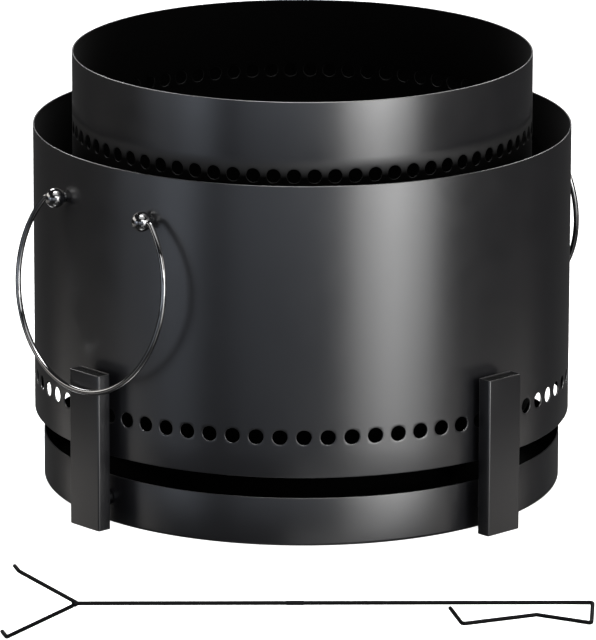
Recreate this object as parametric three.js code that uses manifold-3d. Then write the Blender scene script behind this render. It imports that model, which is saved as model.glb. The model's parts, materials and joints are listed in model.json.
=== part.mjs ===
// Smokeless fire pit: an open steel drum in a wider air shell, over a base pan, on four tube legs,
// with two swinging ring handles and a loose poker lying in front.
// Millimetres, +Z up. The origin is on the pit's axis, on the floor, at the underside of the base pan.
// Legs stand on the X and Y axes. The handles hang over the +X and -X legs.

import * as THREE from 'three';
import { mergeGeometries, mergeVertices } from 'three/addons/utils/BufferGeometryUtils.js';
import Module from 'manifold-3d';

const wasm = await Module();
wasm.setup();

// Driving dimensions: shell, drum, pan
const shellRadius = 250;
const shellHeight = 271.5;
const airGapWidth = 36.5;
const drumRise = 68.5;
const baseInset = 8.5;
const baseTop = 45.5;
const lowerGap = 21.5;
const sheetWall = 1.5;
const wallFacets = 72;
const shellBottom = baseTop + lowerGap;
const shellTop = shellBottom + shellHeight;
const drumRadius = shellRadius - airGapWidth;
const drumTop = shellTop + drumRise;
const baseRadius = shellRadius - baseInset;

// Clearances
const touchGap = 0.3;
const boreClear = 0.3;
const cutOverrun = 5;
const weldTolerance = 0.001;

// Air holes, one ring in the shell and one in the drum, level with the shell's rim
const airHoleCount = 72;
const shellHoleRadius = 7;
const shellHoleRise = 37.8;
const shellHoleHeight = shellBottom + shellHoleRise;
const drumHoleRadius = 6.5;
const drumHoleHeight = shellTop;
const airHoleSides = 8;

// Legs: flat rectangular tubes standing off the shell
const legCount = 4;
const legWidth = 40;
const legDepth = 14.5;
const legWall = 1.5;
const legInsideCorner = 0.3;
const legCornerRadius = legInsideCorner + legWall;
const legCornerSteps = 2;
const legStandoff = 6.7;
const legRise = 80.5;
const legTop = shellBottom + legRise;
const legTubeBottom = 0.5;
const plugHeight = 8;
const capRecess = 1;

// Leg fasteners: M6 bolts from inside, through a spacer sleeve, into a nut welded inside the leg
const shellBoltRise = 18;
const shellBoltHeight = shellBottom + shellBoltRise;
const baseBoltDrop = 21.5;
const baseBoltHeight = baseTop - baseBoltDrop;
const boltRadius = 3;
const boltHeadRadius = 5.6;
const boltHeadHeight = 4;
const boltEndPastNut = 1;
const nutRadius = 5.6;
const nutHeight = 5;
const spacerRadius = 7;
const hexSides = 6;
const boltSides = 8;

// Drum brackets: joggled strips, bolted inside the shell
const bracketWidth = 24;
const bracketThickness = 2;
const bracketAboveBolt = 10.5;
const bracketFlangeTop = shellBoltHeight + bracketAboveBolt;
const bracketBelowBolt = 9;
const bracketShelfHeight = shellBoltHeight - bracketBelowBolt;
const bracketStep = 4;
const bracketStepRun = 3;
const bracketReach = 10;
const drumSideClear = 1;

// Drum floor, fuel grate and ash pan
const drumLedgeWidth = 22;
const grateThickness = 4;
const grateSideClear = 2.5;
const grateHoleRadius = 8;
const grateHolePitch = 50;
const grateHolesInFirstRing = 6;
const grateRim = 20;
const grateHoleSides = 6;
const ashWall = 1.2;
const ashTopClear = 20.5;
const ashBracketClear = 5;
const ashLiftHoleCount = 2;
const ashLiftHoleDegrees = 90;
const ashLiftHoleRadius = 5;
const ashLiftHoleDrop = 12;

// Ring handles
const ballSpacing = 118.4;
const hingeStandoff = 2.8;
const hingeReach = shellRadius + hingeStandoff;
const hingeDrop = 41.4;
const hingeHeight = shellTop - hingeDrop;
const ballRadius = 9.2;
const ballSides = 12;
const ballRings = 8;
const neckRadius = 5.5;
const ringRadius = 98.65;
const ringLeanDegrees = 8.4;
const wireRadius = 2.65;
const ringInsideBend = 2.35;
const ringBendRadius = wireRadius + ringInsideBend;
const pinTipDepth = 3.5;
const pinClear = 0.4;
const pinFreeLength = 0.3;
const ringSides = 8;
const ringStepDegrees = 9;
const ringBendStepDegrees = 18;

// Ball screws
const screwRadius = 2.5;
const screwHeadRadius = 5;
const screwHeadHeight = 3;
const screwTipDepth = 4.8;
const screwHoleEndClear = 0.4;
const screwSides = 8;

// Poker: two rods screwed together in a coupling, the near one bent into a hand loop, and a fork
// welded to the far one's end
const rodRadius = 1.8;
const rodLength = 461.3;
const rodInsideBend = 0.8;
const rodBendRadius = rodRadius + rodInsideBend;
const forkInsideBend = 0.4;
const forkBendRadius = rodRadius + forkInsideBend;
const rodSides = 6;
const rodBendStepDegrees = 24;
const couplingAlong = 268.6;
const couplingLength = 15.5;
const couplingRadius = 2.05;
const couplingSides = 8;
const studRadius = 1.1;
const studRoot = 1;
const upperTineLength = 60.5;
const upperTineDegrees = 28.8;
const lowerTineLength = 68.2;
const lowerTineDegrees = 26.5;
const hookLength = 17;
const hookSplayDegrees = 4.9;
const loopCorner = { along: 15.3, across: 57.5 };
const loopKink = { along: 59.6, across: 35.8 };
const loopElbow = { along: 132.3, across: 62 };
const loopEnd = { along: 132.8, across: 15.5 };
// Where it lies: the handle corner's place from the pit's axis, and the way that the rod points
const pokerCornerDegrees = 258.92;
const pokerCornerDistance = 486.7;
const pokerHeadingDegrees = 148.39;

const radians = THREE.MathUtils.degToRad;

// Materials
const material = (name, color, roughness, metalness) =>
    new THREE.MeshStandardMaterial({ name, color, roughness, metalness, flatShading: true });
const satinPaint = material('satin_heat_paint', 0x2b2d30, 0.45, 0.35);
const drumPaint = material('matt_heat_paint', 0x26272a, 0.55, 0.3);
const glossPaint = material('gloss_black_paint', 0x0e0f11, 0.18, 0.3);
const plugPlastic = material('black_plug', 0x101012, 0.6, 0);
const zincSteel = material('blackened_steel', 0x3a3c40, 0.4, 0.8);
const grateIron = material('grate_iron', 0x232325, 0.75, 0.5);

// A closed triangle mesh with shared corners, faces pointing out
function closed(geometry) {
    const bare = geometry.clone();
    for (const name of Object.keys(bare.attributes)) {
        if (name !== 'position') bare.deleteAttribute(name);
    }
    const merged = mergeVertices(bare);
    const corners = merged.index.array;
    const kept = [];
    for (let i = 0; i < corners.length; i += 3) {
        const [a, b, c] = [corners[i], corners[i + 1], corners[i + 2]];
        if (a !== b && b !== c && c !== a) kept.push(a, b, c);
    }
    if (signedVolume(merged.attributes.position, kept) < 0) kept.reverse();
    merged.setIndex(kept);
    return merged;
}

// Six times the enclosed volume, negative when the faces point in
function signedVolume(position, corners) {
    const [a, b, c] = [new THREE.Vector3(), new THREE.Vector3(), new THREE.Vector3()];
    let total = 0;
    for (let i = 0; i < corners.length; i += 3) {
        a.fromBufferAttribute(position, corners[i]);
        b.fromBufferAttribute(position, corners[i + 1]);
        c.fromBufferAttribute(position, corners[i + 2]);
        total += a.dot(b.cross(c));
    }
    return total;
}

function toManifold(geometry) {
    const shape = closed(geometry);
    return new wasm.Manifold(new wasm.Mesh({
        numProp: 3,
        vertProperties: new Float32Array(shape.attributes.position.array),
        triVerts: new Uint32Array(shape.index.array),
        tolerance: weldTolerance,
    }));
}

function fromManifold(solid) {
    const cut = solid.getMesh();
    const geometry = new THREE.BufferGeometry();
    geometry.setAttribute('position', new THREE.BufferAttribute(cut.vertProperties, 3));
    geometry.setIndex(new THREE.BufferAttribute(cut.triVerts, 1));
    return geometry;
}

// The base with all the cutters, which stay clear of each other, taken away
function cutAway(base, cutters) {
    const tool = toManifold(mergeGeometries(cutters.map(closed)));
    return fromManifold(toManifold(base).subtract(tool));
}

const join = (first, second) => fromManifold(toManifold(first).add(toManifold(second)));

// A profile of [radius, height] points turned round the Z axis, with a facet edge at azimuth start
function turned(profile, facets, startDegrees) {
    const points = profile.map(([r, z]) => new THREE.Vector2(r, z));
    points.push(points[0].clone());
    const start = radians(startDegrees) + Math.PI / 2;
    const lathe = new THREE.LatheGeometry(points, facets, start, 2 * Math.PI);
    return closed(lathe.rotateX(Math.PI / 2));
}

// A prism along the line from one point to another
function rodBetween(from, to, radius, sides) {
    const span = to.clone().sub(from);
    const prism = new THREE.CylinderGeometry(radius, radius, span.length(), sides);
    prism.applyQuaternion(new THREE.Quaternion().setFromUnitVectors(
        new THREE.Vector3(0, 1, 0), span.clone().normalize()));
    const middle = from.clone().add(to).multiplyScalar(0.5);
    return prism.translate(middle.x, middle.y, middle.z);
}

// A point at a distance from the axis in the given direction, shifted sideways, at a height
function polar(distance, degrees, height, sideways = 0) {
    const turn = radians(degrees);
    return new THREE.Vector3(
        distance * Math.cos(turn) - sideways * Math.sin(turn),
        distance * Math.sin(turn) + sideways * Math.cos(turn),
        height);
}

// A ring of radial cutters through a wall of the given outer radius
function holeRing(outerRadius, count, phaseDegrees, height, holeRadius, sides) {
    const cutters = [];
    for (let i = 0; i < count; i++) {
        const degrees = phaseDegrees + i * 360 / count;
        cutters.push(rodBetween(
            polar(outerRadius - sheetWall - cutOverrun, degrees, height),
            polar(outerRadius + cutOverrun, degrees, height), holeRadius, sides));
    }
    return cutters;
}

const root = new THREE.Group();

function addPiece(name, geometry, look, parent = root) {
    const piece = new THREE.Mesh(closed(geometry), look);
    piece.name = name;
    parent.add(piece);
    return piece;
}

const legAzimuths = Array.from({ length: legCount }, (_, i) => i * 360 / legCount);
const facetStep = 360 / wallFacets;
const legInner = shellRadius + legStandoff;
const legOuter = legInner + legDepth;
const legAxis = legInner + legDepth / 2;
const boltHoleRadius = boltRadius + boreClear;
const screwHoleRadius = screwRadius + boreClear;
const shellInner = shellRadius - sheetWall;
const drumInner = drumRadius - sheetWall;
const baseInner = baseRadius - sheetWall;

// How far out a flat of the given half width can sit inside a faceted wall
const flatSeatInside = (wallInner, halfWidth) =>
    Math.sqrt(wallInner ** 2 - halfWidth ** 2) * Math.cos(radians(facetStep / 2)) - touchGap;

// Ball knobs: where they stand, seen from the pit's axis
const ballSide = ballSpacing / 2;
const ballDistance = Math.hypot(hingeReach, ballSide);
const ballTurn = THREE.MathUtils.radToDeg(Math.atan2(ballSide, hingeReach));
const handles = [
    { number: 1, azimuth: 0 },
    { number: 2, azimuth: 180 },
];
const balls = handles.flatMap(({ number, azimuth }) => [
    { number, letter: 'a', azimuth, side: -1 },
    { number, letter: 'b', azimuth, side: 1 },
]);
const ballAzimuth = (ball) => ball.azimuth + ball.side * ballTurn;

// Outer shell: facet edges on the leg axes, so that each air hole lies in the middle of a facet
{
    const wall = turned([
        [shellInner, shellBottom], [shellRadius, shellBottom],
        [shellRadius, shellTop], [shellInner, shellTop],
    ], wallFacets, 0);
    const cutters = holeRing(shellRadius, airHoleCount, 180 / airHoleCount, shellHoleHeight,
        shellHoleRadius, airHoleSides);
    cutters.push(...holeRing(shellRadius, legCount, 0, shellBoltHeight, boltHoleRadius, boltSides));
    for (const ball of balls) {
        cutters.push(...holeRing(shellRadius, 1, ballAzimuth(ball), hingeHeight,
            screwHoleRadius, screwSides));
    }
    addPiece('outer_shell', cutAway(wall, cutters), satinPaint);
}

// Burn drum: stands on the bracket shelves, with a ledge at its foot for the grate
const lowerShelfTop = bracketShelfHeight - bracketStep;
const drumBottom = lowerShelfTop + touchGap;
const ledgeTop = drumBottom + sheetWall;
const ledgeInner = drumInner - drumLedgeWidth;
{
    const wall = turned([
        [ledgeInner, drumBottom], [drumRadius, drumBottom], [drumRadius, drumTop],
        [drumInner, drumTop], [drumInner, ledgeTop], [ledgeInner, ledgeTop],
    ], wallFacets, facetStep / 2);
    const cutters = holeRing(drumRadius, airHoleCount, 0, drumHoleHeight, drumHoleRadius, airHoleSides);
    addPiece('burn_drum', cutAway(wall, cutters), drumPaint);
}

// Fuel grate: a thick perforated disc lying on the ledge
{
    const radius = drumInner - grateSideClear;
    const bottom = ledgeTop + touchGap;
    const top = bottom + grateThickness;
    const disc = turned([[0, bottom], [radius, bottom], [radius, top], [0, top]], wallFacets, facetStep / 2);
    const cutters = [];
    const addHole = (distance, degrees) => cutters.push(rodBetween(
        polar(distance, degrees, bottom - cutOverrun), polar(distance, degrees, top + cutOverrun),
        grateHoleRadius, grateHoleSides));
    addHole(0, 0);
    for (let ring = 1; ring * grateHolePitch + grateHoleRadius < radius - grateRim; ring++) {
        const count = ring * grateHolesInFirstRing;
        for (let i = 0; i < count; i++) addHole(ring * grateHolePitch, i * 360 / count);
    }
    addPiece('fuel_grate', cutAway(disc, cutters), grateIron);
}

// Base pan: an open-topped pan with a flat floor
{
    const pan = turned([
        [0, 0], [baseRadius, 0], [baseRadius, baseTop],
        [baseInner, baseTop], [baseInner, sheetWall], [0, sheetWall],
    ], wallFacets, 0);
    const cutters = holeRing(baseRadius, legCount, 0, baseBoltHeight, boltHoleRadius, boltSides);
    addPiece('base_pan', cutAway(pan, cutters), satinPaint);
}

// Drum brackets: flange against the shell, shelf inwards, then a step down that centres the drum
const bracketBack = flatSeatInside(shellInner, bracketWidth / 2);
const bracketTip = drumRadius - bracketReach;
{
    const stepOuter = drumRadius + drumSideClear + bracketStepRun;
    const stepInner = drumRadius + drumSideClear;
    const shelfUnder = bracketShelfHeight - bracketThickness;
    const lowUnder = lowerShelfTop - bracketThickness;
    const outline = new THREE.Shape([
        [bracketBack, bracketFlangeTop], [bracketBack - bracketThickness, bracketFlangeTop],
        [bracketBack - bracketThickness, bracketShelfHeight], [stepOuter, bracketShelfHeight],
        [stepInner, lowerShelfTop], [bracketTip, lowerShelfTop], [bracketTip, lowUnder],
        [stepInner, lowUnder], [stepOuter, shelfUnder], [bracketBack, shelfUnder],
    ].map(([r, z]) => new THREE.Vector2(r, z)));
    const strip = new THREE.ExtrudeGeometry(outline, { depth: bracketWidth, bevelEnabled: false });
    strip.translate(0, 0, -bracketWidth / 2).rotateX(Math.PI / 2);
    const hole = rodBetween(
        polar(bracketBack - bracketThickness - cutOverrun, 0, shellBoltHeight),
        polar(bracketBack + cutOverrun, 0, shellBoltHeight), boltHoleRadius, boltSides);
    const shape = cutAway(strip, [hole]);
    legAzimuths.forEach((degrees, i) => {
        addPiece(`drum_bracket_${i + 1}`, shape, zincSteel).rotation.z = radians(degrees);
    });
}

// Ash pan: stands on the base pan's floor and passes between the brackets' tips
{
    const radius = bracketTip - ashBracketClear;
    const bottom = sheetWall + touchGap;
    const top = drumBottom - ashTopClear;
    const inner = radius - ashWall;
    const tray = turned([
        [0, bottom], [radius, bottom], [radius, top],
        [inner, top], [inner, bottom + ashWall], [0, bottom + ashWall],
    ], wallFacets, 0);
    const liftHoles = holeRing(radius, ashLiftHoleCount, ashLiftHoleDegrees,
        top - ashLiftHoleDrop, ashLiftHoleRadius, airHoleSides);
    addPiece('ash_pan', cutAway(tray, liftHoles), drumPaint);
}

// A rectangle with round corners
function roundedRectangle(width, height, radius) {
    const [x, y] = [width / 2, height / 2];
    const corners = [[x, -y, -90], [x, y, 0], [-x, y, 90], [-x, -y, 180]];
    const points = [];
    for (const [cx, cy, start] of corners) {
        for (let i = 0; i <= legCornerSteps; i++) {
            const turn = radians(start + 90 * i / legCornerSteps);
            points.push(new THREE.Vector2(
                cx - Math.sign(cx) * radius + radius * Math.cos(turn),
                cy - Math.sign(cy) * radius + radius * Math.sin(turn)));
        }
    }
    return points;
}

// Legs with their plugs
{
    const inside = { depth: legDepth - 2 * legWall, width: legWidth - 2 * legWall };
    const section = new THREE.Shape(roundedRectangle(legDepth, legWidth, legCornerRadius));
    section.holes.push(new THREE.Path(roundedRectangle(inside.depth, inside.width, legInsideCorner)));
    const tube = new THREE.ExtrudeGeometry(section, { depth: legTop - legTubeBottom, bevelEnabled: false });
    tube.translate(legAxis, 0, legTubeBottom);
    const holes = [shellBoltHeight, baseBoltHeight].map((height) => rodBetween(
        polar(legInner - cutOverrun, 0, height), polar(legInner + legWall + cutOverrun, 0, height),
        boltHoleRadius, boltSides));
    const leg = cutAway(tube, holes);
    const plugSection = new THREE.Shape(roundedRectangle(
        inside.depth - 2 * touchGap, inside.width - 2 * touchGap, legInsideCorner));
    const plug = new THREE.ExtrudeGeometry(plugSection, { depth: plugHeight, bevelEnabled: false });
    legAzimuths.forEach((degrees, i) => {
        const place = new THREE.Group();
        place.rotation.z = radians(degrees);
        root.add(place);
        addPiece(`leg_${i + 1}`, leg, satinPaint, place);
        addPiece(`leg_cap_${i + 1}`, plug, plugPlastic, place)
            .position.set(legAxis, 0, legTop - capRecess - plugHeight);
        addPiece(`leg_foot_${i + 1}`, plug, plugPlastic, place).position.set(legAxis, 0, 0);
    });
}

// Leg fasteners along +X at one height: bolt head inside at headSeat, sleeve between wall and leg, nut
function legFastener(headSeat, wallOuter, height) {
    const at = (x) => new THREE.Vector3(x, 0, height);
    const nutStart = legInner + legWall + touchGap;
    const nutEnd = nutStart + nutHeight;
    const bolt = join(
        rodBetween(at(headSeat - boltHeadHeight), at(headSeat), boltHeadRadius, hexSides),
        rodBetween(at(headSeat - boltHeadHeight / 2), at(nutEnd + boltEndPastNut), boltRadius, boltSides));
    const bored = (from, to, radius, sides) => cutAway(
        rodBetween(at(from), at(to), radius, sides),
        [rodBetween(at(from - cutOverrun), at(to + cutOverrun), boltHoleRadius, boltSides)]);
    return {
        bolt,
        spacer: bored(wallOuter + touchGap, legInner - touchGap, spacerRadius, boltSides),
        nut: bored(nutStart, nutEnd, nutRadius, hexSides),
    };
}
const shellFastener = legFastener(bracketBack - bracketThickness - touchGap, shellRadius, shellBoltHeight);
const baseFastener = legFastener(flatSeatInside(baseInner, boltHeadRadius), baseRadius, baseBoltHeight);
legAzimuths.forEach((degrees, i) => {
    for (const [place, set] of [['shell', shellFastener], ['base', baseFastener]]) {
        for (const kind of ['bolt', 'spacer', 'nut']) {
            addPiece(`${place}_${kind}_${i + 1}`, set[kind], zincSteel).rotation.z = radians(degrees);
        }
    }
});

// Ball knobs: each has a neck to the shell, a side bore for the ring's end and a hole for its screw
for (const ball of balls) {
    const azimuth = ballAzimuth(ball);
    const centre = polar(hingeReach, ball.azimuth, hingeHeight, ball.side * ballSide);
    const alongAxis = (distance) =>
        polar(hingeReach, ball.azimuth, hingeHeight, ball.side * (ballSide + distance));
    const sphere = new THREE.SphereGeometry(ballRadius, ballSides, ballRings);
    sphere.rotateX(Math.PI / 2).rotateZ(radians(azimuth)).translate(centre.x, centre.y, centre.z);
    const neckStart = polar(shellRadius + touchGap, azimuth, hingeHeight);
    const knob = join(sphere, rodBetween(neckStart, centre, neckRadius, boltSides));
    const pinBore = rodBetween(alongAxis(pinTipDepth - pinClear), alongAxis(ballRadius + cutOverrun),
        wireRadius + pinClear, ringSides);
    const screwBore = rodBetween(polar(shellRadius - cutOverrun, azimuth, hingeHeight),
        polar(ballDistance - screwTipDepth + screwHoleEndClear, azimuth, hingeHeight),
        screwHoleRadius, screwSides);
    addPiece(`handle_ball_${ball.number}${ball.letter}`, cutAway(knob, [pinBore, screwBore]), glossPaint);

    const headSeat = flatSeatInside(shellInner, screwHeadRadius);
    const screw = join(
        rodBetween(polar(headSeat - screwHeadHeight, azimuth, hingeHeight),
            polar(headSeat, azimuth, hingeHeight), screwHeadRadius, boltSides),
        rodBetween(polar(headSeat - screwHeadHeight / 2, azimuth, hingeHeight),
            polar(ballDistance - screwTipDepth, azimuth, hingeHeight), screwRadius, screwSides));
    addPiece(`ball_screw_${ball.number}${ball.letter}`, screw, zincSteel);
}

// A path through given stations, one step of an extrusion to each
class Stations extends THREE.Curve {
    constructor(points) {
        super();
        this.points = points;
    }
    getPoint(t, target = new THREE.Vector3()) {
        const place = t * (this.points.length - 1);
        const i = Math.min(Math.floor(place), this.points.length - 2);
        return target.lerpVectors(this.points[i], this.points[i + 1], place - i);
    }
    getPointAt(t, target) {
        return this.getPoint(t, target);
    }
    getSpacedPoints(steps) {
        return this.getPoints(steps);
    }
    // Halfway between the directions of the two runs that meet at a station
    getTangentAt(t, target = new THREE.Vector3()) {
        const last = this.points.length - 1;
        const i = Math.round(t * last);
        const run = (j) => this.points[j + 1].clone().sub(this.points[j]).normalize();
        const [before, after] = [run(Math.max(i - 1, 0)), run(Math.min(i, last - 1))];
        return target.copy(before).add(after).normalize();
    }
    getTangent(t, target) {
        return this.getTangentAt(t, target);
    }
}

function roundBar(points, radius, sides) {
    const section = Array.from({ length: sides }, (_, i) => {
        const turn = 2 * Math.PI * (i + 0.5) / sides;
        return new THREE.Vector2(radius * Math.cos(turn), radius * Math.sin(turn));
    });
    return new THREE.ExtrudeGeometry(new THREE.Shape(section),
        { steps: points.length - 1, extrudePath: new Stations(points), bevelEnabled: false });
}

// Ring handles: pins on the hinge axis, a small bend at each, and one big arc hanging below.
// Worked out in a plane with x along the hinge and y down the ring, then leaned out and placed.
function ringStations() {
    const bendCentreX = ballSide + ballRadius + pinFreeLength;
    const ringDrop = ringBendRadius + Math.sqrt((ringRadius - ringBendRadius) ** 2 - bendCentreX ** 2);
    const arcStart = -THREE.MathUtils.radToDeg(Math.atan2(ringDrop - ringBendRadius, bendCentreX));
    const flat = [[ballSide + pinTipDepth, 0]];
    const addArc = (x, y, radius, from, to, stepDegrees) => {
        const steps = Math.ceil(Math.abs(to - from) / stepDegrees);
        for (let i = 0; i <= steps; i++) {
            const turn = radians(from + (to - from) * i / steps);
            flat.push([x + radius * Math.cos(turn), y + radius * Math.sin(turn)]);
        }
    };
    addArc(bendCentreX, ringBendRadius, ringBendRadius, -90, arcStart, ringBendStepDegrees);
    flat.pop();
    addArc(0, ringDrop, ringRadius, arcStart, 90, ringStepDegrees);
    const mirrored = flat.slice(0, -1).reverse().map(([x, y]) => [-x, y]);
    return [...flat, ...mirrored].map(([x, y]) => new THREE.Vector3(0, x, -y));
}
const ringShape = roundBar(ringStations(), wireRadius, ringSides);
for (const { number, azimuth } of handles) {
    const place = new THREE.Group();
    place.rotation.z = radians(azimuth);
    root.add(place);
    const ring = addPiece(`handle_ring_${number}`, ringShape, glossPaint, place);
    ring.position.set(hingeReach, 0, hingeHeight);
    ring.rotation.y = -radians(ringLeanDegrees);
}

// Poker, in its own axes: the rod runs along x from its handle corner, z is up, y away from the pit
function bentRod(corners, bendRadius) {
    const stations = [corners[0]];
    for (let i = 1; i < corners.length - 1; i++) {
        const back = corners[i - 1].clone().sub(corners[i]).normalize();
        const ahead = corners[i + 1].clone().sub(corners[i]).normalize();
        const half = back.angleTo(ahead) / 2;
        const bend = Math.PI - 2 * half;
        const middle = back.clone().add(ahead).normalize();
        const centre = corners[i].clone().addScaledVector(middle, bendRadius / Math.sin(half));
        const start = corners[i].clone().addScaledVector(back, bendRadius / Math.tan(half)).sub(centre);
        const axis = new THREE.Vector3().crossVectors(ahead, back).normalize();
        const steps = Math.ceil(bend / radians(rodBendStepDegrees));
        for (let k = 0; k <= steps; k++) {
            stations.push(start.clone().applyAxisAngle(axis, bend * k / steps).add(centre));
        }
    }
    stations.push(corners[corners.length - 1]);
    return stations;
}
{
    const lowerReach = lowerTineLength * Math.cos(radians(lowerTineDegrees));
    const lowerFall = lowerTineLength * Math.sin(radians(lowerTineDegrees));
    // The rod climbs to the fork, because the lower tine's tip and the handle's end both touch the floor
    const climb = Math.atan2(lowerFall, rodLength + lowerReach);
    const onRod = (along, up) => new THREE.Vector3(
        along * Math.cos(climb) - up * Math.sin(climb), 0,
        along * Math.sin(climb) + up * Math.cos(climb));
    const flatCorner = new THREE.Vector3(loopCorner.along, loopCorner.across, 0);
    const inLoop = ({ along, across }) => onRod(along, 0).setY(across);
    const apex = onRod(rodLength, 0);
    const tineTip = (length, degrees) => onRod(
        rodLength + length * Math.cos(radians(degrees)), length * Math.sin(radians(degrees)));
    const splay = radians(hookSplayDegrees);
    const hook = new THREE.Vector3(hookLength * Math.sin(splay), -hookLength * Math.cos(splay), 0);
    const upperTip = tineTip(upperTineLength, upperTineDegrees);
    const lowerTip = tineTip(lowerTineLength, -lowerTineDegrees);

    const corner = polar(pokerCornerDistance, pokerCornerDegrees, rodRadius);
    const place = new THREE.Group();
    place.position.copy(corner);
    place.rotation.z = radians(pokerHeadingDegrees);
    root.add(place);
    // The fork's bend passes a little beyond the corner that its two tines would make
    const forkHalfAngle = radians((upperTineDegrees + lowerTineDegrees) / 2);
    const bendSetback = forkBendRadius / Math.sin(forkHalfAngle) - forkBendRadius;
    const frontEnd = rodLength + bendSetback - rodRadius - touchGap;
    const couplingStart = couplingAlong - couplingLength / 2;
    const couplingEnd = couplingAlong + couplingLength / 2;
    const between = (from, to, radius, sides) => rodBetween(onRod(from, 0), onRod(to, 0), radius, sides);
    const studInto = (rod, root, tip) => join(rod, between(root, tip, studRadius, rodSides));
    const rodCorners = [onRod(couplingStart - touchGap, 0), onRod(0, 0), flatCorner,
        inLoop(loopKink), inLoop(loopElbow), inLoop(loopEnd)];
    addPiece('poker_rod', studInto(roundBar(bentRod(rodCorners, rodBendRadius), rodRadius, rodSides),
        couplingStart - touchGap - studRoot, couplingAlong - touchGap), glossPaint, place);
    const studBore = between(couplingStart - cutOverrun, couplingEnd + cutOverrun,
        studRadius + boreClear, couplingSides);
    addPiece('poker_coupling', cutAway(
        between(couplingStart, couplingEnd, couplingRadius, couplingSides), [studBore]), glossPaint, place);
    addPiece('poker_front_rod', studInto(between(couplingEnd + touchGap, frontEnd, rodRadius, rodSides),
        couplingEnd + touchGap + studRoot, couplingAlong + touchGap), glossPaint, place);
    const forkCorners = [upperTip.clone().add(hook), upperTip, apex, lowerTip, lowerTip.clone().add(hook)];
    addPiece('poker_fork', roundBar(bentRod(forkCorners, forkBendRadius), rodRadius, rodSides),
        glossPaint, place);
}

export default root;
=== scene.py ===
"""Looks of a smokeless fire pit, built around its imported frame.

Metres, +Z up, with the origin on the pit's axis at the floor. Every finished piece's object stands at
the origin, with its place in its mesh. Sizes come from the frame's boxes, or are named here.
"""

import json
import math

import bmesh
import bpy
import numpy as np
from mathutils import Matrix, Vector


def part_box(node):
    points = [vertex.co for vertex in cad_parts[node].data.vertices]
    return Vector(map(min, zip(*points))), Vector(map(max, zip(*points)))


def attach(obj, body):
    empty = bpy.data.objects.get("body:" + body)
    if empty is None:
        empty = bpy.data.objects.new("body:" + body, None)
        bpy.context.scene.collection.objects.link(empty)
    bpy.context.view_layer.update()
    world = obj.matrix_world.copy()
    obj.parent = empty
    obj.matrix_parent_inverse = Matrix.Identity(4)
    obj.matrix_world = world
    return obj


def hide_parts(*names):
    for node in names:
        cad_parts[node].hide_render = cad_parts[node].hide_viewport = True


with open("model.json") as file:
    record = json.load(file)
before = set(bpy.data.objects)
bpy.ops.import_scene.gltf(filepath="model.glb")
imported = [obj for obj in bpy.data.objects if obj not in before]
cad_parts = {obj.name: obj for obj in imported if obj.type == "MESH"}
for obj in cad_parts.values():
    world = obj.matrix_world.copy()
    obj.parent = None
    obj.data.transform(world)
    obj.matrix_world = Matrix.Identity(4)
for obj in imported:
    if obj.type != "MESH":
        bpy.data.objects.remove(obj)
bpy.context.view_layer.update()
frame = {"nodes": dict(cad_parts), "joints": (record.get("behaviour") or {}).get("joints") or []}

MM = 0.001
X, Z = 0, 2
FULL_TURN = 2 * math.pi
QUARTER = math.pi / 2


def span(node, axis):
    """A frame node's lowest and highest place along one axis."""
    low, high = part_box(node)
    return low[axis], high[axis]


# Walls, from the frame. Its walls have 72 flats: the shell's edges face the legs, the drum's flats do.
HALF_FLAT = math.radians(2.5)
SHELL_RADIUS = span("outer_shell", X)[1]
SHELL_LOW, SHELL_HIGH = span("outer_shell", Z)
DRUM_RADIUS = span("burn_drum", X)[1] / math.cos(HALF_FLAT)
DRUM_LOW, DRUM_HIGH = span("burn_drum", Z)
GRATE_RADIUS = span("fuel_grate", X)[1] / math.cos(HALF_FLAT)
GRATE_LOW, GRATE_HIGH = span("fuel_grate", Z)
BASE_RADIUS = span("base_pan", X)[1]
BASE_LOW, BASE_HIGH = span("base_pan", Z)
ASH_RADIUS = span("ash_pan", X)[1]
ASH_LOW, ASH_HIGH = span("ash_pan", Z)
SHEET = 1.5 * MM
ASH_SHEET = 1.2 * MM
SHEET_EDGE = 0.6 * MM
PAN_BEND = 3 * MM
LEDGE_WIDTH = 22 * MM

# Air holes: 72 in a ring, so one cell of the wall is 5 degrees wide
HOLE_COUNT = 72
HOLE_EDGE = 0.45 * MM
SHELL_HOLE_RADIUS = 7 * MM
SHELL_HOLE_HEIGHT = 104.8 * MM
DRUM_HOLE_RADIUS = 6.5 * MM
CELL_HEIGHT = 24 * MM
CELL_ACROSS = 8
CELL_UP = 8
WALL_COLUMNS = HOLE_COUNT * CELL_ACROSS
LIFT_HOLE_RADIUS = 5 * MM
LIFT_HOLE_DROP = 12 * MM

# Grate: rings of 6, 12 and 18 holes round one in the middle, so each ring has HOLES_PER_RING more
GRATE_PITCH = 50 * MM
GRATE_RINGS = 3
HOLES_PER_RING = 6
GRATE_HOLE_RADIUS = 8 * MM
GRATE_HOLE_EDGE = 0.8 * MM
GRATE_COLUMNS = 144

# Legs
LEG_AZIMUTHS = [0, 90, 180, 270]
LEG_CORNER = 1.8 * MM
LEG_WALL = 1.5 * MM
LEG_EDGE = 0.5 * MM
PLUG_EDGE = 0.8 * MM

# Handles: two ball knobs on the shell carry each ring
HINGE_REACH, _, HINGE_HEIGHT = frame["joints"][0]["pos_m"]
WIRE_RADIUS = 2.65 * MM
BALL_RADIUS = 9.2 * MM
BALL_SIDE = 59.2 * MM
NECK_RADIUS = 5.5 * MM
RING_RADIUS = 98.65 * MM
RING_BEND = 5 * MM
PIN_TIP_DEPTH = 3.5 * MM
PIN_FREE = 0.3 * MM
RING_LEAN = math.radians(8.4)

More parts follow.
